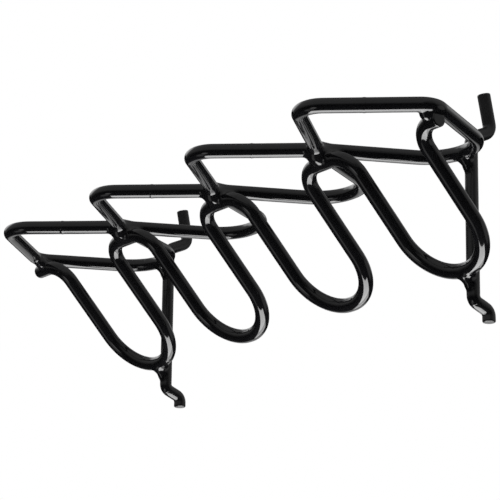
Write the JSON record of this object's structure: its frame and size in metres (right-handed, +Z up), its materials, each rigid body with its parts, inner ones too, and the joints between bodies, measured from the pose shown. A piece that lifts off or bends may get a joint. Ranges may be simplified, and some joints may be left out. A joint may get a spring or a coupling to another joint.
{
  "type": "pegboard tool rack",
  "caption": "Welded wire rack in black gloss coating that hooks on a pegboard and holds hair dryers or curling irons in a row of rings.",
  "frame": {"origin": "on the front face of the pegboard, half way between the two hooks, level with the centre plane of the rings", "axes": "+X along the board to the right as seen from the front, +Y into the board, +Z up"},
  "size_m": [0.3093, 0.1103, 0.1045],
  "materials": {
    "wire_coat": "gloss black powder coat on steel wire",
    "hook_coat": "satin black powder coat on steel wire, duller at the pegs",
    "weld_coat": "gloss black powder coat pooled over weld beads"
  },
  "bodies": {
    "root": {"hook_wire_left": "hook_coat", "hook_wire_right": "hook_coat", "front_wire": "wire_coat", "ring_1": "wire_coat", "ring_butt_weld_1": "weld_coat", "ring_2": "wire_coat", "ring_butt_weld_2": "weld_coat", "ring_3": "wire_coat", "ring_butt_weld_3": "weld_coat", "ring_4": "wire_coat", "ring_butt_weld_4": "weld_coat", "corner_weld_1": "weld_coat", "corner_weld_2": "weld_coat", "corner_weld_3": "weld_coat", "corner_weld_4": "weld_coat", "corner_weld_5": "weld_coat", "ring_post_weld_left": "weld_coat", "loop_post_weld_left": "weld_coat", "ring_post_weld_right": "weld_coat", "loop_post_weld_right": "weld_coat"}
  },
  "joints": []
}
